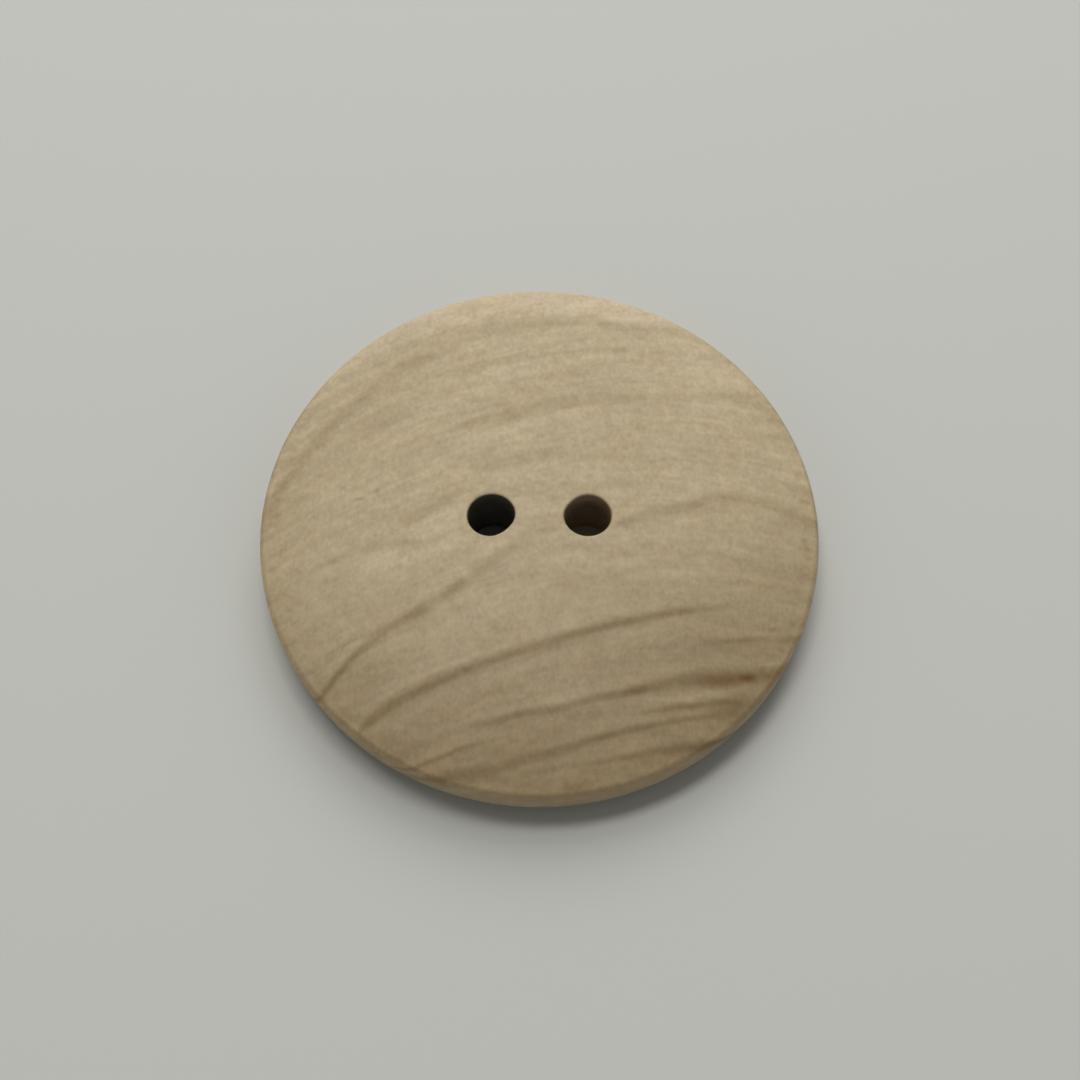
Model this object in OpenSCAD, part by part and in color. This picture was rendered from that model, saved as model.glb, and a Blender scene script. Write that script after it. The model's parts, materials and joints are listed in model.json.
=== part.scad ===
// Round wooden button, turned as one piece, with a domed face and two sewing holes.
// The flat back lies on z = 0, the face points along +Z and the holes lie in a row along X.
// All sizes are in millimetres.

/* [Disc] */
// Outer diameter of the button
button_d = 30; // [18:0.5:60]
// Thickness at the middle of the face
thickness = 4.2; // [3.2:0.1:8]
// Height of the domed face above its own edge
dome_rise = 1.2; // [0.4:0.1:1.8]

/* [Rim] */
// Radius where the face turns over into the rim
face_round = 0.4; // [0.2:0.05:1.2]
// Radius where the rim turns under into the back
back_round = 1.6; // [0.4:0.1:2.2]

/* [Holes] */
// Diameter of each sewing hole
hole_d = 2.5; // [1.2:0.1:4]
// Distance between the middles of the two holes
hole_pitch = 5.1; // [4.6:0.1:10]
// Width of the softened edge at each end of a hole
hole_break = 0.15; // [0.05:0.05:0.3]

/* [Hidden] */

// Light wood of the disc
wood_colour = [0.70, 0.63, 0.51];

// Steps round a turned edge or hole, and round the whole circle that the dome is cut from
$fn = 180;
dome_steps = 720;

// Shortest straight band that stays on the rim between its two rounds
rim_band = 0.2;
// Overshoot of a cutting tool past the surface that it cuts
past = 0.5;
// Step to which worked-out places are rounded up
fine = 0.0001;

function rounded_up(value) = ceil(value / fine) * fine;

rim_r = button_d / 2;

// The dome is part of a sphere that passes through the middle of the face and its sharp edge
dome_r = rounded_up((pow(rim_r, 2) + pow(dome_rise, 2)) / (2 * dome_rise));
dome_z = thickness - dome_r;

// The face round lies against the inside of the dome and of the rim, and runs just proud of the dome
face_x = rim_r - face_round;
face_z = rounded_up(dome_z + sqrt(pow(dome_r - face_round, 2) - pow(face_x, 2)));

// The dome runs into the face round at this distance from the axis
meet_x = face_x * dome_r / (dome_r - face_round);

// The back round is limited by the rim that the face round leaves
under_round = min(back_round, face_z - rim_band);
under_x = rim_r - under_round;

hole_r = hole_d / 2;

// Height of the domed face over a point at this distance from the axis
function face_height(distance) = dome_z + sqrt(pow(dome_r, 2) - pow(distance, 2));

// Half of the disc's section, to the right of the turning axis
module half_section() {
    // Middle of the disc, from the flat back
    square([under_x, under_round]);
    // Middle of the disc, up to the dome
    intersection() {
        translate([0, dome_z]) circle(dome_r, $fn = dome_steps);
        translate([0, under_round]) square([meet_x, thickness]);
    }
    // Straight band of the rim
    translate([0, under_round]) square([rim_r, face_z - under_round]);
    // Round over the upper edge
    translate([face_x, face_z]) circle(face_round);
    // Round under the lower edge
    intersection() {
        translate([under_x, under_round]) circle(under_round);
        square([rim_r, under_round]);
    }
}

// Copies a tool to the place of each sewing hole
module at_holes() {
    for (turn = [0, 180]) rotate(turn) translate([hole_pitch / 2, 0, 0]) children();
}

// Straight drill through the whole disc
module hole_drill() {
    translate([0, 0, -past]) cylinder(h = thickness + 2 * past, r = hole_r);
}

// Cone that breaks a hole's edge, opening along +Z from the depth of the break
module edge_break() {
    reach = hole_break + past;
    translate([0, 0, -hole_break]) cylinder(h = reach, r1 = hole_r, r2 = hole_r + reach);
}

// The whole button
module button() {
    color(wood_colour) difference() {
        difference() {
            rotate(90) rotate_extrude() half_section();
            at_holes() hole_drill();
        }
        translate([0, 0, face_height(hole_pitch / 2)]) at_holes() edge_break();
        mirror([0, 0, 1]) at_holes() edge_break();
    }
}

button();
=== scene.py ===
import functools
import json
import math

import bmesh
import bpy
import numpy as np
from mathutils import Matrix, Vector


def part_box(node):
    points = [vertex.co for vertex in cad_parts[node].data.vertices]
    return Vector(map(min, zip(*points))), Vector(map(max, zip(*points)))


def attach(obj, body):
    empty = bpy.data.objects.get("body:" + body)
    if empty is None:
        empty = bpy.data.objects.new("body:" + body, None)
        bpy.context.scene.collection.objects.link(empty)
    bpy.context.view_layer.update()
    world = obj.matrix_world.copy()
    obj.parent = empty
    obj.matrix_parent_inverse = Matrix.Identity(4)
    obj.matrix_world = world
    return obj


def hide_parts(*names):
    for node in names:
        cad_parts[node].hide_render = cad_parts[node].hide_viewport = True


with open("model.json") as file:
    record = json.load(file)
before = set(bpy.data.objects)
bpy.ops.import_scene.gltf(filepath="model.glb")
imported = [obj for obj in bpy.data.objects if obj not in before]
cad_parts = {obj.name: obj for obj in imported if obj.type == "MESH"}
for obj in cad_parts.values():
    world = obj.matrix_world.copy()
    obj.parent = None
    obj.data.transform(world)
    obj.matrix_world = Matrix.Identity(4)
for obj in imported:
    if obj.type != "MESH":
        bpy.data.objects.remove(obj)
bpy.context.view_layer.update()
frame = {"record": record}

# Sizes of the turned section, in millimetres
MM = 0.001
top_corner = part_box("button")[1]
RIM_R = top_corner.y / MM
THICKNESS = top_corner.z / MM
DOME_RISE = 1.2
FACE_ROUND = 0.4
BACK_ROUND = 1.6

# Radius of the sewing holes, their distance from the axis and the round at their ends, in millimetres
holes = [mount for mount in frame["record"]["mounts"] if mount["kind"] == "bore"]
HOLE_R = holes[0]["dims"]["r_mm"]
HOLE_X = abs(holes[0]["pos_m"][0]) / MM
MOUTH_ROUND = 0.15

# A nick in each mouth on the face: millimetres into the hole, degrees round it and degrees wide
NICK_DEPTH = 0.09
NICK_ANGLE = 135
NICK_SPREAD = 34
# Millimetres by which these mouths are out of round, and the power by which this dies away down the hole
MOUTH_OVAL = 0.05
NICK_TAPER = 3

# Centres of the section's arcs and the place where the face meets its round
DOME_R = (RIM_R ** 2 + DOME_RISE ** 2) / (2 * DOME_RISE)
DOME_Z = THICKNESS - DOME_R
FACE_X = RIM_R - FACE_ROUND
FACE_Z = DOME_Z + math.sqrt((DOME_R - FACE_ROUND) ** 2 - FACE_X ** 2)
MEET_R = FACE_X * DOME_R / (DOME_R - FACE_ROUND)
BACK_R = RIM_R - BACK_ROUND

# Mesh steps round half the rim, along the middle line, and out over the face and over the back
ARC_STEPS = 168
LINE_STEPS = 108
FACE_STEPS = 88
BACK_STEPS = 30
# Mesh steps round each edge of the rim, down its wall, round the ends of a hole and down its bore
ROUND_STEPS = 15
WALL_STEPS = 4
MOUTH_STEPS = 6
BORE_STEPS = 10
# Angle on the rim where the mesh starts, and the power that draws its steps closer at the holes
START_TURN = math.radians(-90)
CLOSER = 1.3
# Decimals of a millimetre to which corners are rounded, so that patches share them
CORNER_DECIMALS = 4

# Growth rings on the face. Each point is x, y and half width in millimetres, and darkness as a share.
RINGS = {
    "left ring": [
        (-12.8, -12.82, 0.26, 0.50), (-11, -9.65, 0.28, 0.62), (-9.58, -7.76, 0.28, 0.64),
        (-8.29, -6.64, 0.26, 0.52), (-7.05, -5.8, 0.28, 0.56), (-6.1, -5.27, 0.36, 0.74),
        (-5.4, -4.82, 0.28, 0.44), (-4.57, -4.27, 0.38, 0.66), (-3.46, -3.49, 0.40, 0.47),
        (-2.5, -2.79, 0.44, 0.47), (-1.4, -1.92, 0.40, 0.34), (-0.5, -1.19, 0.40, 0.22),
        (1.2, -0.72, 0.36, 0.00),
    ],
    "right ring": [
        (3.4, -0.67, 0.26, 0.00), (4.3, -0.44, 0.24, 0.36), (4.9, -0.3, 0.23, 0.50),
        (5.6, -0.04, 0.28, 0.26), (6.4, 0.25, 0.31, 0.36), (8.3, 0.74, 0.29, 0.40),
        (10.3, 1.3, 0.35, 0.34), (11.7, 1.11, 0.34, 0.36), (13.1, 0.66, 0.28, 0.42),
        (15.4, -0.42, 0.30, 0.40), (17, -1.12, 0.30, 0.00),
    ],
    "long ring": [
        (-9.15, -11.5, 0.28, 0.00), (-8.7, -11.14, 0.33, 0.70), (-7.45, -10.31, 0.33, 0.80),
        (-5.87, -9.49, 0.33, 0.84), (-4.27, -8.79, 0.29, 0.84), (-1.02, -7.57, 0.27, 0.78),
        (2.11, -6.58, 0.25, 0.74), (5.32, -5.8, 0.23, 0.70), (6.91, -5.44, 0.20, 0.62),
        (8.2, -5.25, 0.17, 0.42), (9.1, -5.1, 0.16, 0.30), (10.5, -4.74, 0.15, 0.12),
        (12, -4.42, 0.15, 0.00),
    ],
    "low ring": [
        (-7.2, -12.92, 0.20, 0.00), (-5.8, -12.24, 0.20, 0.24), (-4.3, -11.72, 0.20, 0.12),
        (-3.2, -11.42, 0.20, 0.28), (-2.29, -11.18, 0.21, 0.52), (-0.69, -10.76, 0.20, 0.62),
        (1.11, -10.48, 0.21, 0.60), (2.51, -10.06, 0.21, 0.60), (4.52, -9.66, 0.25, 0.72),
        (6.11, -9.24, 0.27, 0.65), (7.5, -8.97, 0.31, 0.62), (9.5, -8.82, 0.40, 0.58),
        (11.3, -8.57, 0.38, 0.52), (12.3, -8.37, 0.24, 0.66), (15, -7.92, 0.24, 0.60),
    ],
    "first foot ring": [
        (-8.2, -14.52, 0.14, 0.47), (-5.86, -13.31, 0.14, 0.55), (-4.66, -12.83, 0.13, 0.51),
        (-3.48, -12.4, 0.13, 0.41), (-2.29, -12.08, 0.12, 0.16), (-1.2, -11.82, 0.12, 0.00),
    ],
    "second foot ring": [
        (-6.6, -14.72, 0.28, 0.58), (-4.6, -13.9, 0.28, 0.59), (-2.5, -13.62, 0.29, 0.52),
        (-1.11, -13.2, 0.28, 0.54), (0.14, -12.83, 0.26, 0.54), (1.74, -12.37, 0.23, 0.62),
        (3.31, -11.88, 0.19, 0.70), (4.7, -11.54, 0.18, 0.63), (6.3, -11.2, 0.16, 0.63),
        (7.9, -10.92, 0.15, 0.49), (9.4, -10.72, 0.15, 0.00),
    ],
    "third foot ring": [
        (4.4, -10.87, 0.12, 0.00), (5.2, -10.7, 0.13, 0.16), (6.5, -10.46, 0.14, 0.42),
        (8.1, -10.26, 0.16, 0.50), (9.3, -10.07, 0.17, 0.34), (10.6, -9.87, 0.16, 0.00),
    ],
    "fourth foot ring": [
        (-2.4, -14.3, 0.14, 0.00), (-0.9, -13.85, 0.16, 0.34), (0.3, -13.58, 0.16, 0.38),
        (1.33, -13.42, 0.15, 0.34), (3.73, -13.04, 0.15, 0.52), (5.3, -12.72, 0.18, 0.65),
        (7.5, -12.42, 0.22, 0.72), (9.2, -12.22, 0.22, 0.72),
    ],
    "edge ring": [
        (7.6, -7.27, 0.18, 0.00), (8.3, -7.1, 0.18, 0.19), (9.71, -6.89, 0.14, 0.34),
        (11.3, -6.72, 0.14, 0.42), (12.5, -6.68, 0.18, 0.42), (14.6, -6.62, 0.20, 0.34),
    ],
    "outer ring": [
        (-16.4, -3.42, 0.55, 0.24), (-14.5, 1.08, 0.55, 0.27), (-12.73, 3.94, 0.53, 0.34),
        (-11.6, 5.58, 0.52, 0.36), (-10.5, 6.78, 0.48, 0.29), (-9, 8.43, 0.44, 0.27),
        (-6.9, 9.95, 0.48, 0.37), (-5.5, 10.91, 0.53, 0.25), (-4.27, 11.61, 0.41, 0.24),
        (-2.47, 12.06, 0.39, 0.26), (-1.09, 12.3, 0.34, 0.28), (1.1, 12.66, 0.37, 0.25),
        (2.6, 12.78, 0.34, 0.22), (4.1, 12.33, 0.31, 0.34), (6, 12.16, 0.36, 0.28),
        (7.5, 12.03, 0.36, 0.27), (9.1, 11.48, 0.33, 0.26), (11, 9.88, 0.28, 0.00),
    ],
}

# Softer rings above the holes and beside them, which are sharp below and slow above
UPPER_RINGS = {
    "upper ring": [
        (-6.6, 8.58, 0.16, 0.00), (-5.87, 8.88, 0.16, 0.10), (-4.3, 9.4, 0.17, 0.14),
        (-2.7, 9.6, 0.20, 0.10), (-1.1, 9.8, 0.17, 0.18), (0.5, 10.14, 0.20, 0.14),
        (1.7, 10.32, 0.24, 0.08), (3.4, 10.53, 0.20, 0.11), (4.2, 10.61, 0.23, 0.33),
        (5.2, 10.68, 0.20, 0.00),
    ],
    "middle ring": [
        (-5.2, 5.08, 0.32, 0.00), (-4.28, 5.42, 0.36, 0.22), (-2.65, 5.81, 0.40, 0.34),
        (-1.46, 6.11, 0.42, 0.42), (0.51, 6.74, 0.40, 0.32), (2.5, 7.08, 0.36, 0.20),
        (3.7, 7.43, 0.36, 0.22), (5.5, 7.44, 0.34, 0.26), (7.1, 7.5, 0.34, 0.30),
        (8.5, 7.68, 0.30, 0.14), (10.1, 7.66, 0.30, 0.20), (11.85, 7.18, 0.34, 0.20),
        (13.5, 6.28, 0.34, 0.14), (15, 5.08, 0.34, 0.00),
    ],
    "short ring": [
        (-4.3, 2.58, 0.30, 0.00), (-3.5, 2.82, 0.34, 0.24), (-1.87, 3.16, 0.38, 0.28),
        (-0.66, 3.42, 0.34, 0.28), (1.13, 3.86, 0.30, 0.20), (2.3, 4.08, 0.30, 0.00),
    ],
    "hole ring": [
        (-8, -0.67, 0.28, 0.00), (-6.88, -0.25, 0.32, 0.28), (-5.87, 0.33, 0.36, 0.36),
        (-4.87, 0.91, 0.36, 0.32), (-3.9, 1.28, 0.32, 0.18), (-0.5, 1.28, 0.30, 0.16),
        (0.5, 1.28, 0.28, 0.14), (3.8, 1.82, 0.30, 0.12), (4.5, 1.92, 0.32, 0.18),
        (5.8, 2.08, 0.32, 0.00),
    ],
    "side ring": [
        (-11.8, -2.62, 0.25, 0.00), (-10.9, -2.36, 0.27, 0.24), (-9.5, -2.04, 0.27, 0.24),
        (-7.9, -1.64, 0.27, 0.22), (-6.3, -1.58, 0.29, 0.15), (-5.2, -1.42, 0.29, 0.00),
    ],
}

# A ring's darkness across it, from below to above, in half widths: a slow start, a core and a pale far side
RING_REACH = 4
RING_ACROSS = [-4, -2.4, -1.6, -1, -0.5, 0, 0.5, 1, 1.5, 2.2, 3, 4]
RING_DARKNESS = [0, 0.09, 0.22, 0.52, 0.88, 1, 0.86, 0.46, 0.10, -0.13, -0.12, 0]
PALEST = -0.2

# How patchy each set of rings is: how much the patches change its strength, and its usual strength
RING_PATCHES = (0.6, 0.93)
UPPER_PATCHES = (2.4, 0.9)

# Soft oval marks in the grain, and two of painted light at the top. Each is x, y, half length and half
# width in millimetres, slope and strength.
RED_MARKS = {
    "red streak": (9.3, -8.98, 1.9, 0.50, 0.08, 0.66),
    "red spot": (10.6, -8.74, 0.80, 0.38, 0.10, 0.90),
    "small red spot": (4.85, -9.6, 0.8, 0.28, 0.20, 0.45),
    "red edge": (12.0, -8.87, 1.2, 0.50, 0.10, 0.35),
}
DARK_MARKS = {
    "corner": (9.8, -10.4, 2.0, 1.00, 0.20, 0.60),
    "red core": (10.75, -8.74, 0.55, 0.30, 0.1, 0.34),
    "above foot": (0.0, -12.2, 2.6, 0.50, 0.3, 0.16),
    "edge fleck": (12.1, -6.17, 0.5, 0.25, 0.10, 0.50),
    "left shoulder": (-11.5, 4.08, 7.0, 6.0, 0.0, 0.10),
    "low left": (-9.6, -9.0, 3.5, 2.5, 0.0, 0.18),
    "low right": (9.4, -7.2, 5.0, 4.4, 0.0, 0.25),
    "right side": (12.2, -3.2, 3.9, 2.8, 0.0, 0.21),
    "middle": (4.5, 4.08, 3.2, 2.2, 0.1, 0.14),
    "top left": (-7.6, 11.8, 1.8, 1.4, 0.5, 0.14),
    "upper left": (-8.6, 6.1, 2.8, 1.6, 0.3, 0.16),
    "right edge": (13.2, -0.2, 2.4, 1.8, 0.0, 0.16),
    "left edge": (-13.5, -0.4, 2.6, 4.4, 0.0, 0.15),
    "curl": (-9.6, 1.13, 0.55, 0.20, 0.0, 0.50),
    "curl end": (-8.7, 1.58, 0.25, 0.28, 0.0, 0.38),
    "pore": (-10.6, 1.88, 0.45, 0.22, -0.4, 0.20),
    "low pore": (-10.85, -2.47, 0.45, 0.22, 0.0, 0.24),
    "left pore": (-12.1, 2.68, 0.35, 0.28, 0.0, 0.20),
}
PALE_MARKS = {
    "streak": (8.4, -9.7, 3.3, 0.40, 0.15, 0.40),
    "foot patch": (1.2, -9.9, 3.6, 1.80, 0.20, 0.30),
    "foot streak": (5.2, -10.07, 1.8, 0.36, 0.18, 0.20),
    "foot band": (-4.2, -12.17, 2.4, 0.42, 0.34, 0.20),
    "left patch": (-8.4, -2.5, 3.0, 1.00, 0.10, 0.32),
    "hole patch": (-5.4, -1.0, 3.0, 1.90, 0.30, 0.24),
    "ring patch": (-1.5, 5.18, 3.2, 0.60, 0.20, 0.12),
    "right patch": (7.6, -0.32, 2.4, 0.90, 0.20, 0.16),
    "low middle": (-3.2, -6.9, 6.5, 4.6, 0.25, 0.26),
    # The top and top right marks are partly paler wood and partly painted light, where the far side faces
    # the lamps
    "top": (1.5, 11.38, 8.0, 2.8, 0.05, 0.14),
    "top right": (9.6, 10.2, 4.4, 2.6, -0.6, 0.18),
    "right shoulder": (9.6, 8.6, 6.0, 5.0, 0.0, 0.07),
    "thin line": (11.8, -8.02, 1.0, 0.14, 0.15, 0.22),
}

# How far the rings lean for each millimetre of depth, and how far they wander, in millimetres
LEAN_X = 0.15
LEAN_Y = -0.8
WANDER = 0.08
# Bend and slope of the fibres, which run along the rings
FLOW_BEND = 0.0165
FLOW_SLOPE = 0.22

# Grain along the rings: the size of its features along, across and down in millimetres, and its detail
RING_GRAIN = {
    "bands": ((6, 1.1, 4), 2),
    "streaks": ((4.5, 0.5, 1.5), 2),
    "fibres": ((1.6, 0.28, 1), 3),
    "broad hue": ((3, 1.1, 3), 2),
    "patches": ((1.4, 3, 3), 2),
}
# Grain that is alike all over: the size of its features along x, y and z in millimetres, and its detail
EVEN_GRAIN = {
    "mottle": ((0.6, 0.55, 0.6), 2),
    "flecks": ((0.2, 0.28, 0.2), 2),
    "fine hue": ((0.7, 0.6, 0.7), 2),
}
WANDER_GRAIN = ((2.2, 2.2, 2.2), 1)
# How much the grain darkens the wood, changes its hue and stands out of it
SHADE_SHARES = {"bands": 0.30, "streaks": 0.29, "fibres": 0.16, "mottle": 0.37, "flecks": 0.42}
HUE_SHARES = {"broad hue": 1.2, "fine hue": 0.35}
RELIEF_SHARES = {"fibres": 0.5, "flecks": 0.6}

# Height of the grain in millimetres, the roughness that it adds, the usual roughness, and the shine
RELIEF = 0.006
GRAIN_ROUGHNESS = 0.15
WOOD_ROUGHNESS = 0.55
WOOD_SHINE = 0.25

# Colours of the wood at the top and at the foot, and the slanted stretch in millimetres where they change
TOP_WOOD = (0.400, 0.316, 0.192, 1)
FOOT_WOOD = (0.249, 0.183, 0.096, 1)
FOOT_SLOPE = -0.1
FOOT_SPAN = (2, -14)

# Tints that the wood takes in its grain, rings and marks
SHADE_TINT = (0.12, 0.0, -0.20)
HUE_TINT = (1.05, 0.985, 0.88)
RING_TINT = (0.51, 0.44, 0.27)
RED_TINT = (0.70, 0.46, 0.28)
# Tints that it takes at its edges, the painted shade in its holes, and the one that pale wood and painted
# light lack
EDGE_TINT = (0.72, 0.65, 0.46)
END_TINT = (0.80, 0.76, 0.68)
LEFT_BORE_SHADE = (0.17, 0.18, 0.21)
RIGHT_BORE_SHADE = (0.58, 0.54, 0.54)
PALE_TINT = (0.48, 0.45, 0.25)

# Paler wood past the outer ring, with painted light where the far rim faces the lamps: its strength, its
# oval, and where it comes in outwards, up and to the left
PALE_AND_LIT_SHARE = 0.44
PALE_OVAL = 0.85
PALE_OUT = (12.4, 14.2)
PALE_UP = (5, 10)
PALE_LEFT = (11, 5)

# Brown band at the face's edge: the radius where it starts, its strength out to the rim, and its patches
EDGE_START = 13.0
EDGE_PLACES = [0, 0.4, 0.7, 0.85, 1]
EDGE_HEIGHTS = [0, 0.12, 0.45, 0.2, 0]
EDGE_PATCHES = (0.9, 0.5)
# The stretch along y where the near half comes in, and how the band climbs at the sides
NEAR_HALF = (6, -6)
EDGE_SLOPE = -0.5

# Painted light on the near rim, as if thrown back from the pale floor: its strength, and the upward slants
# between which it comes in from above and from below
PAINTED_RIM_LIGHT = 0.8
RIM_LIGHT_ABOVE = (0.85, 0.3)
RIM_LIGHT_BELOW = (-0.8, -0.4)

# Painted shade in the bores: millimetres outside the wall where the dark starts and is full, and the same
# down the hole
BORE_SHADE_OUT = (0.14, 0.10)
BORE_SHADE_DOWN = (0.02, 0.09)
# Stretches along x that part the left hole from the right one
LEFT_HALF = (1, -1)
RIGHT_HALF = (-1, 1)

# The floor in metres: half its side, its place just under the button, and where it turns into the backdrop
FLOOR_HALF = 1.5
FLOOR_Z = -0.00002
FLOOR_FADE = (0.08, 0.5)
FLOOR_COLOUR = (0.502, 0.507, 0.469, 1)
FLOOR_ROUGHNESS = 0.9
FLOOR_SHINE = 0.1

# Brightness of the pale backdrop
BACKDROP = 0.6
WHITE = (1, 1, 1, 1)
BLACK = (0, 0, 0, 1)

# The camera in millimetres and degrees: what it looks at and from where, its lens, and the nearest it sees
CAMERA_TARGET = (0.03, -0.50, 2.0)
CAMERA_DISTANCE = 76.6
CAMERA_ELEVATION = 65.6
CAMERA_LENS = 47.13
SENSOR_WIDTH = 36
NEAREST = 1

# Lamps: azimuth and elevation in degrees, distance, width and height in metres, and power in watts
LAMPS = {
    "window": (178, 46, 0.36, 0.29, 0.26, 0.58),
    "ceiling": (200, 77, 0.35, 0.16, 0.065, 0.48),
}

# Light from all round: its least and what is added to it, away from a dark patch placed in degrees
AMBIENT_LEAST = 0.04
AMBIENT_ADDED = 0.47
DARK_ELEVATION = 68
DARK_EDGE = (22, 50)

# Places of a Mix node's share and two colours among its inputs, and of its colour among its outputs
MIX_INPUTS = (0, 6, 7)
MIX_OUTPUT = 2
# Middle of a noise node's values
NOISE_MIDDLE = 0.5


# Fields: numbers and colours that vary over a surface, held by shader nodes

class Field:
    """A number, place or colour from a node's output. Numbers take part in sums."""

    def __init__(self, socket):
        self.socket = socket

    def __add__(self, other):
        return compute("ADD", self, other)

    def __sub__(self, other):
        return compute("SUBTRACT", self, other)

    def __rsub__(self, other):
        return compute("SUBTRACT", other, self)

    def __mul__(self, other):
        return compute("MULTIPLY", self, other)

    def __truediv__(self, other):
        return compute("DIVIDE", self, other)

    def __abs__(self):
        return compute("ABSOLUTE", self)


def plug(value, socket):
    """Links a field to a socket, or sets a plain value on it."""
    if isinstance(value, Field):
        socket.node.id_data.links.new(value.socket, socket)
    else:
        socket.default_value = value


def new_node(kind, *values):
    """A node in the tree that the fields among the values are in."""
    tree = next(value.socket.node.id_data for value in values if isinstance(value, Field))
    return tree.nodes.new(kind)


def compute(operation, *values):
    node = new_node("ShaderNodeMath", *values)
    node.operation = operation
    for value, socket in zip(values, node.inputs):
        plug(value, socket)
    return Field(node.outputs[0])


def most(first, second):
    return compute("MAXIMUM", first, second)


def line(value, slope, start):
    """slope times the value plus start, in one node."""
    return compute("MULTIPLY_ADD", value, slope, start)


def length(x, y):
    return compute("SQRT", x * x + y * y)


def total(fields):
    return functools.reduce(lambda first, second: first + second, fields)


def weighted(layers, shares):
    """The sum of the named layers, each times its share."""
    return total(layers[name] * share for name, share in shares.items())


def fade(value, start, end, smooth=True):
    """0 where the value is at start, 1 where it is at end."""
    node = new_node("ShaderNodeMapRange", value, start, end)
    node.interpolation_type = "SMOOTHSTEP" if smooth else "LINEAR"
    plug(value, node.inputs["Value"])
    plug(start, node.inputs["From Min"])
    plug(end, node.inputs["From Max"])
    return Field(node.outputs["Result"])


def curve(share, places, heights):
    """A smooth curve through points whose places and heights are from 0 to 1."""
    node = new_node("ShaderNodeFloatCurve", share)
    node.mapping.extend = "HORIZONTAL"
    points = node.mapping.curves[0].points
    while len(points) < len(places):
        points.new(0.5, 0.5)
    for point, place, height in zip(points, places, heights):
        point.location = (place, height)
        point.handle_type = "AUTO_CLAMPED"
    node.mapping.update()
    plug(share, node.inputs["Value"])
    return Field(node.outputs[0])


def split(output):
    """The x, y and z of a node's vector output."""
    tree = output.node.id_data
    node = tree.nodes.new("ShaderNodeSeparateXYZ")
    tree.links.new(output, node.inputs[0])
    return [Field(part) for part in node.outputs]


def vector(x, y, z):
    node = new_node("ShaderNodeCombineXYZ", x, y, z)
    for value, socket in zip((x, y, z), node.inputs):
        plug(value, socket)
    return Field(node.outputs[0])


def noise(place, sizes, detail):
    """Cloudy variation about 0, with features of these sizes in the three directions of the place."""
    scaled = vector(*[part / size for part, size in zip(place, sizes)])
    node = new_node("ShaderNodeTexNoise", scaled)
    plug(scaled, node.inputs["Vector"])
    node.inputs["Scale"].default_value = 1
    node.inputs["Detail"].default_value = detail
    return Field(node.outputs["Fac"]) - NOISE_MIDDLE


def mix(share, first, second):
    """A colour that goes from the first to the second by share."""
    node = new_node("ShaderNodeMix", share, first, second)
    node.data_type = "RGBA"
    for value, place in zip((share, first, second), MIX_INPUTS):
        plug(value, node.inputs[place])
    return Field(node.outputs[MIX_OUTPUT])


def tinted(colour, share, tint):
    """The colour with share of a tint over it; a share below 0 makes it lighter."""
    loss = new_node("ShaderNodeVectorMath", share)
    loss.operation = "SCALE"
    loss.inputs[0].default_value = [part - 1 for part in tint]
    plug(share, loss.inputs["Scale"])
    left = new_node("ShaderNodeVectorMath", share)
    left.operation = "MULTIPLY_ADD"
    plug(Field(loss.outputs[0]), left.inputs[0])
    plug(colour, left.inputs[1])
    plug(colour, left.inputs[2])
    return Field(left.outputs[0])


def seen(nodes):
    """1 for the rays that show a surface to the eye, straight or by way of a shiny or clear one."""
    path = nodes.new("ShaderNodeLightPath")
    kinds = ("Is Camera Ray", "Is Glossy Ray", "Is Transmission Ray")
    return functools.reduce(most, [Field(path.outputs[kind]) for kind in kinds])


# The wood and the floor

def share_of(value, low, high):
    """Where a number lies from low to high, as a share."""
    return (value - low) / (high - low)


def ring(x, y, points, upwards=1):
    """How strongly one growth ring darkens the wood at a place; -1 turns its cross profile over."""
    places, middles, half_widths, strengths = np.array(points).T
    first = places[0]
    last = places[-1]
    low = middles.min()
    high = middles.max()
    shares = share_of(places, first, last)
    along = fade(x, first, last, smooth=False)
    middle = line(curve(along, shares, share_of(middles, low, high)), high - low, low)
    half_width = curve(along, shares, half_widths)
    strength = curve(along, shares, strengths)

    # Half widths from the ring's middle, from one end of its reach to the other, become a share
    across = line((y - middle) / half_width, 0.5 * upwards / RING_REACH, 0.5)
    stops = share_of(np.array(RING_ACROSS), -RING_REACH, RING_REACH)
    heights = share_of(np.array(RING_DARKNESS), PALEST, 1)
    return line(curve(across, stops, heights), 1 - PALEST, PALEST) * strength


def mark(x, y, middle_x, middle_y, half_length, half_width, slope, strength):
    """How strong one soft oval mark is at a place."""
    along = x - middle_x
    across = y - middle_y - along * slope
    return fade(length(along / half_length, across / half_width), 1, 0) * strength


def marks(x, y, shapes):
    """How strong a set of marks is at a place."""
    return total(mark(x, y, *shape) for shape in shapes.values())


def plain_wood(x, y, grain):
    """Wood without rings: browner towards the foot, paler past the outer ring with painted light on the far
    rim, and uneven all over.
    """
    colour = mix(fade(line(x, FOOT_SLOPE, y), *FOOT_SPAN), TOP_WOOD, FOOT_WOOD)
    colour = tinted(colour, weighted(grain, SHADE_SHARES), SHADE_TINT)
    colour = tinted(colour, weighted(grain, HUE_SHARES), HUE_TINT)
    # Paler wood and painted light together, on the far rim beyond the outer ring
    past = fade(length(x * PALE_OVAL, y), *PALE_OUT) * fade(y, *PALE_UP) * fade(x, *PALE_LEFT)
    return tinted(colour, past * -PALE_AND_LIT_SHARE, PALE_TINT)


def ringed(colour, x, y, patches):
    """The colour with the growth rings and the marks over it."""
    rings = total(ring(x, y, points) for points in RINGS.values())
    upper_rings = total(ring(x, y, points, -1) for points in UPPER_RINGS.values())
    dark = rings * line(patches, *RING_PATCHES) + upper_rings * line(patches, *UPPER_PATCHES)
    dark = dark + marks(x, y, DARK_MARKS) - marks(x, y, PALE_MARKS)
    colour = tinted(colour, dark, RING_TINT)
    return tinted(colour, marks(x, y, RED_MARKS), RED_TINT)


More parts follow.
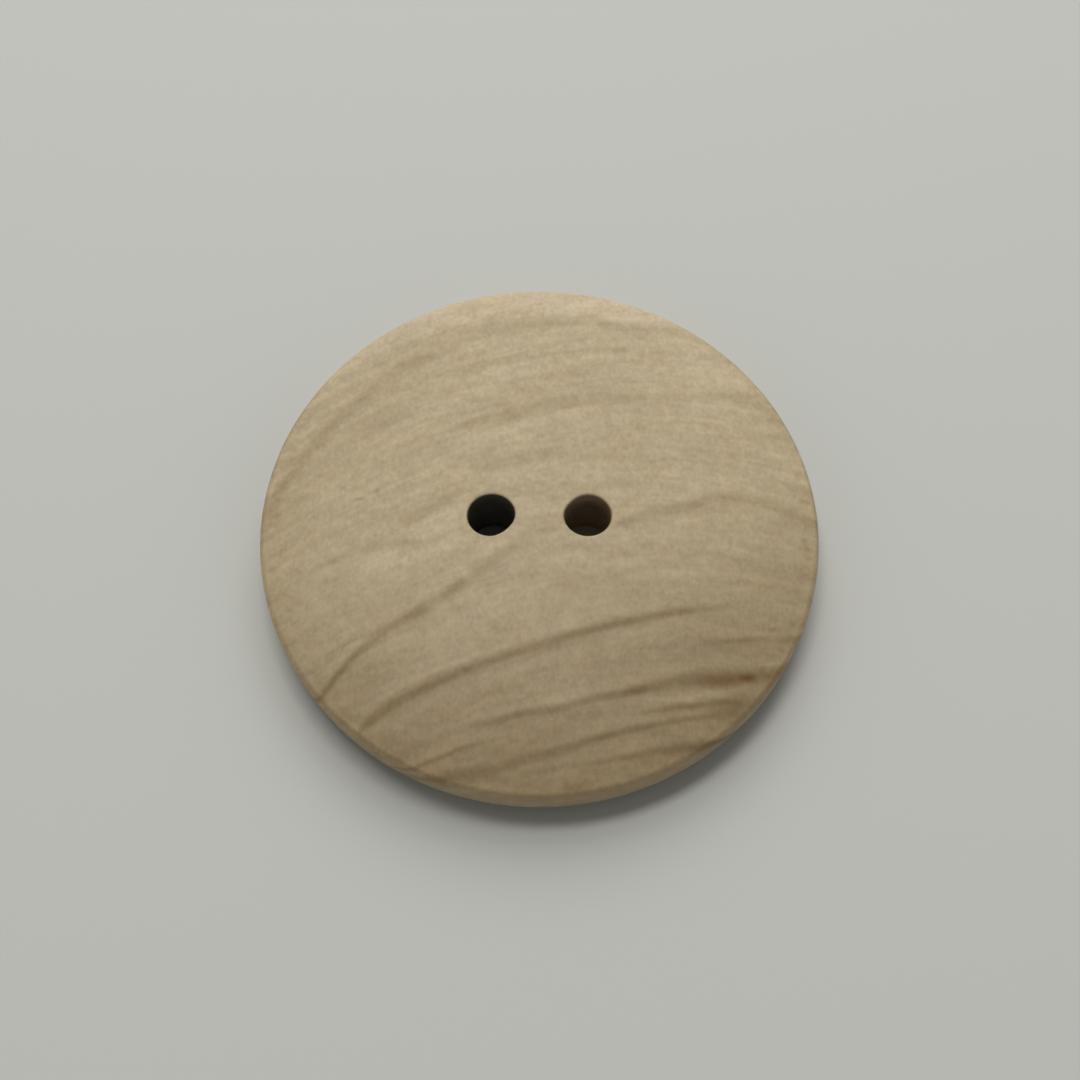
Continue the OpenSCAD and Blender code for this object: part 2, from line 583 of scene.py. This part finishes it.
def edged(colour, x, y, facing, patches):
    """The colour with a browner band round the face, end grain on the sides and painted light on the near
    rim.
    """
    reach = fade(length(x, y), EDGE_START, RIM_R, smooth=False)
    band = curve(reach, EDGE_PLACES, EDGE_HEIGHTS)
    low_side = fade(line(abs(x), EDGE_SLOPE, y), *NEAR_HALF)
    colour = tinted(colour, band * low_side * line(patches, *EDGE_PATCHES), EDGE_TINT)
    turn = facing[0]
    colour = tinted(colour, turn * turn, END_TINT)
    rise = facing[2]
    # Painted light: the near rim is made paler and greyer where the floor in front would light it
    rim = fade(rise, *RIM_LIGHT_ABOVE) * fade(rise, *RIM_LIGHT_BELOW) * fade(y, *NEAR_HALF)
    return tinted(colour, rim * -PAINTED_RIM_LIGHT, PALE_TINT)


def shade_bores(colour, x, y, depth):
    """The colour with painted shade on the walls of the two holes, darker in the left one."""
    limits = [HOLE_R + out for out in BORE_SHADE_OUT]
    # Painted shade: the walls of the holes are darkened, as little light reaches into them
    bore = fade(length(abs(x) - HOLE_X, y), *limits) * fade(depth, *BORE_SHADE_DOWN)
    colour = tinted(colour, bore * fade(x, *LEFT_HALF), LEFT_BORE_SHADE)
    return tinted(colour, bore * fade(x, *RIGHT_HALF), RIGHT_BORE_SHADE)


def new_material(name):
    material = bpy.data.materials.new(name)
    material.use_nodes = True
    nodes = material.node_tree.nodes
    return material, nodes, nodes["Principled BSDF"]


def wood_material():
    """Light wood, with rings that go down through it."""
    material, nodes, shader = new_material("wood")
    coords = nodes.new("ShaderNodeTexCoord")
    x, y, z = [part / MM for part in split(coords.outputs["Object"])]
    facing = split(coords.outputs["Normal"])

    # Places in the grain: the rings lean with depth, and the fibres run along the rings
    depth = THICKNESS - (x * x + y * y) / (2 * DOME_R) - z
    wander = noise((x, y, z), *WANDER_GRAIN) * WANDER
    ring_x = x + depth * LEAN_X
    ring_y = y + depth * LEAN_Y + wander
    flow = ring_y + ring_x * (ring_x * FLOW_BEND - FLOW_SLOPE)
    grain = {name: noise((ring_x, flow, depth), *layer) for name, layer in RING_GRAIN.items()}
    grain.update({name: noise((x, y, z), *layer) for name, layer in EVEN_GRAIN.items()})

    colour = plain_wood(x, y, grain)
    colour = ringed(colour, ring_x, ring_y, grain["patches"])
    colour = edged(colour, x, y, facing, grain["mottle"] + grain["bands"])
    colour = shade_bores(colour, x, y, depth)
    plug(colour, shader.inputs["Base Color"])

    relief = nodes.new("ShaderNodeBump")
    relief.inputs["Distance"].default_value = RELIEF * MM
    plug(weighted(grain, RELIEF_SHARES), relief.inputs["Height"])
    plug(Field(relief.outputs[0]), shader.inputs["Normal"])
    roughness = line(grain["bands"] + grain["fibres"], GRAIN_ROUGHNESS, WOOD_ROUGHNESS)
    plug(roughness, shader.inputs["Roughness"])
    shader.inputs["Specular IOR Level"].default_value = WOOD_SHINE
    return material


def floor_material():
    """Pale near the button, and one with the backdrop far from it."""
    material, nodes, shader = new_material("floor")
    coords = nodes.new("ShaderNodeTexCoord")
    x, y = split(coords.outputs["Object"])[:2]
    far = fade(length(x, y), *FLOOR_FADE)
    plug(mix(far, FLOOR_COLOUR, BLACK), shader.inputs["Base Color"])
    shader.inputs["Emission Color"].default_value = WHITE
    plug(far * seen(nodes) * BACKDROP, shader.inputs["Emission Strength"])
    shader.inputs["Roughness"].default_value = FLOOR_ROUGHNESS
    shader.inputs["Specular IOR Level"].default_value = FLOOR_SHINE
    return material


# The button's mesh, in patches of quads that share their edges

def dome_height(x, y):
    return DOME_Z + np.sqrt(DOME_R ** 2 - x ** 2 - y ** 2)


def half_outline(reach):
    """Round the right half of a disc: up its arc, then down its middle line."""
    turn = START_TURN + math.pi * np.arange(ARC_STEPS) / ARC_STEPS
    arc = np.stack([reach * np.cos(turn), reach * np.sin(turn)], axis=1)
    arc[0, 0] = 0
    drop = np.arange(LINE_STEPS + 1) / LINE_STEPS
    middle = np.stack([0 * drop, reach * (1 - 2 * drop)], axis=1)
    return np.concatenate([arc, middle])


def hole_angles():
    """The angle round the right hole that each point of a half outline is joined to."""
    steps = ARC_STEPS + LINE_STEPS
    return 2 * math.pi * (np.arange(steps + 1) / steps) - math.pi * ARC_STEPS / steps


def nick():
    """How far the wood stands into the right hole at each angle of its mouth on the face."""
    away = np.degrees(hole_angles()) - NICK_ANGLE
    away = (away + 180) % 360 - 180
    return NICK_DEPTH * np.exp(-(away / NICK_SPREAD) ** 2) + MOUTH_OVAL * np.sin(hole_angles()) ** 2


def hole_ring(radius):
    turn = hole_angles()
    return np.stack([HOLE_X + radius * np.cos(turn), radius * np.sin(turn)], axis=1)


def flat_patch(inner, reach, steps):
    """A grid from the right hole's mouth out to a half disc's edge, as x and y, closer at the hole."""
    outer = half_outline(reach)
    share = (np.arange(steps + 1) / steps) ** CLOSER
    grid = inner[:, None] + (outer - inner)[:, None] * share[None, :, None]
    return grid[..., 0], grid[..., 1]


def face_patch():
    x, y = flat_patch(hole_ring(HOLE_R + MOUTH_ROUND - nick()), MEET_R, FACE_STEPS)
    return np.stack([x, y, dome_height(x, y)], axis=-1)


def back_patch():
    x, y = flat_patch(hole_ring(HOLE_R + MOUTH_ROUND), BACK_R, BACK_STEPS)
    return np.stack([x, y, 0 * x], axis=-1)


def rim_patch():
    """The face round, the upright rim and the back round, turned about the axis."""
    tangent = math.atan2(FACE_Z - DOME_Z, FACE_X)
    upper = np.linspace(tangent, 0, ROUND_STEPS + 1)
    lower = np.linspace(0, -math.pi / 2, ROUND_STEPS + 1)
    radii = [FACE_X + FACE_ROUND * np.cos(upper), np.full(WALL_STEPS - 1, RIM_R)]
    radii.append(BACK_R + BACK_ROUND * np.cos(lower))
    heights = [FACE_Z + FACE_ROUND * np.sin(upper)]
    heights.append(np.linspace(FACE_Z, BACK_ROUND, WALL_STEPS + 1)[1:-1])
    heights.append(BACK_ROUND + BACK_ROUND * np.sin(lower))
    radius = np.concatenate(radii)
    height = np.concatenate(heights)
    turn = START_TURN + math.pi * np.arange(2 * ARC_STEPS + 1) / ARC_STEPS
    x = np.cos(turn)[:, None] * radius
    y = np.sin(turn)[:, None] * radius
    return np.stack([x, y, np.broadcast_to(height, x.shape)], axis=-1)


def bore_patch():
    """The right hole: a rounded mouth, the wall and the mouth at the back."""
    turn = hole_angles()[:, None]
    edge = hole_ring(HOLE_R + MOUTH_ROUND - nick())
    top = dome_height(edge[:, 0], edge[:, 1])[:, None]
    bend = np.linspace(0, math.pi / 2, MOUTH_STEPS + 1)
    mouth_r = HOLE_R + MOUTH_ROUND * (1 - np.sin(bend))
    mouth_drop = MOUTH_ROUND * (1 - np.cos(bend))
    share = np.arange(1, BORE_STEPS) / BORE_STEPS
    wall_top = top - MOUTH_ROUND
    wall = wall_top + (MOUTH_ROUND - wall_top) * share
    height = np.concatenate([top - mouth_drop, wall, mouth_drop[::-1] + 0 * top], axis=1)
    radius = np.concatenate([mouth_r, np.full(BORE_STEPS - 1, HOLE_R), mouth_r[::-1]])
    taper = (1 - share) ** NICK_TAPER
    kept = np.concatenate([np.ones(MOUTH_STEPS + 1), taper, np.zeros(MOUTH_STEPS + 1)])
    radius = radius - nick()[:, None] * kept
    x = HOLE_X + radius * np.cos(turn)
    y = radius * np.sin(turn)
    return np.stack([x, y, height], axis=-1)


def patch_quads(patch):
    """The four corners of every cell of a patch."""
    corners = [patch[:-1, :-1], patch[1:, :-1], patch[1:, 1:], patch[:-1, 1:]]
    return np.stack(corners, axis=2).reshape(-1, 4, 3)


def button_mesh():
    right = [face_patch(), back_patch(), bore_patch()]
    half_turn = np.array([-1, -1, 1])
    patches = right + [patch * half_turn for patch in right] + [rim_patch()]
    corners = np.concatenate([patch_quads(patch) for patch in patches]).reshape(-1, 3)
    # Adding 0 turns -0 into 0, so that the two count as one place
    keys = np.round(corners, CORNER_DECIMALS) + 0.0
    points, index = np.unique(keys, axis=0, return_inverse=True)
    mesh = bpy.data.meshes.new("button_wood")
    mesh.from_pydata((points * MM).tolist(), [], index.reshape(-1, 4).tolist())
    shell = bmesh.new()
    shell.from_mesh(mesh)
    bmesh.ops.recalc_face_normals(shell, faces=shell.faces)
    shell.to_mesh(mesh)
    shell.free()
    mesh.polygons.foreach_set("use_smooth", [True] * len(mesh.polygons))
    return mesh


# The button, the floor under it, the camera and the light

def new_object(name, data):
    item = bpy.data.objects.new(name, data)
    bpy.context.scene.collection.objects.link(item)
    return item


def add_button():
    mesh = button_mesh()
    mesh.materials.append(wood_material())
    piece = new_object("button_wood", mesh)
    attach(piece, "root")
    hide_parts("button")


def add_floor():
    mesh = bpy.data.meshes.new("floor")
    corners = [(-1, -1), (1, -1), (1, 1), (-1, 1)]
    points = [(x * FLOOR_HALF, y * FLOOR_HALF, FLOOR_Z) for x, y in corners]
    mesh.from_pydata(points, [], [(0, 1, 2, 3)])
    mesh.materials.append(floor_material())
    floor = new_object("floor", mesh)


def direction(azimuth, elevation):
    """A unit vector: azimuth 0 is towards -Y and 90 towards +X."""
    turn = math.radians(azimuth)
    rise = math.radians(elevation)
    flat = math.cos(rise)
    return Vector((math.sin(turn) * flat, -math.cos(turn) * flat, math.sin(rise)))


def add_camera():
    back = direction(0, CAMERA_ELEVATION)
    data = bpy.data.cameras.new("camera")
    data.sensor_width = SENSOR_WIDTH
    data.lens = CAMERA_LENS
    data.clip_start = NEAREST * MM
    camera = new_object("camera", data)
    camera.location = Vector(CAMERA_TARGET) * MM + back * CAMERA_DISTANCE * MM
    camera.rotation_euler = back.to_track_quat("Z", "Y").to_euler()
    bpy.context.scene.camera = camera


def add_lamp(name, azimuth, elevation, distance, width, height, energy):
    """A soft rectangular lamp that faces the button."""
    towards = direction(azimuth, elevation)
    data = bpy.data.lights.new(name, "AREA")
    data.shape = "RECTANGLE"
    data.size = width
    data.size_y = height
    data.energy = energy
    lamp = new_object(name, data)
    lamp.location = towards * distance
    lamp.rotation_euler = towards.to_track_quat("Z", "Y").to_euler()


def set_world():
    """Dim light from all round, with a dark patch overhead and in front, and a pale backdrop."""
    world = bpy.data.worlds.new("world")
    world.use_nodes = True
    nodes = world.node_tree.nodes
    place = nodes.new("ShaderNodeTexCoord")
    facing = nodes.new("ShaderNodeVectorMath")
    facing.operation = "DOT_PRODUCT"
    world.node_tree.links.new(place.outputs["Generated"], facing.inputs[0])
    facing.inputs[1].default_value = direction(0, DARK_ELEVATION)
    edge = [math.cos(math.radians(angle)) for angle in DARK_EDGE]
    ambient = fade(Field(facing.outputs["Value"]), *edge)
    strength = most(ambient * AMBIENT_ADDED + AMBIENT_LEAST, seen(nodes) * BACKDROP)
    background = nodes["Background"]
    background.inputs["Color"].default_value = WHITE
    plug(strength, background.inputs["Strength"])
    bpy.context.scene.world = world


bpy.context.scene.view_settings.view_transform = "Standard"
add_camera()
add_floor()
for lamp_name, lamp_settings in LAMPS.items():
    add_lamp(lamp_name, *lamp_settings)
set_world()
add_button()
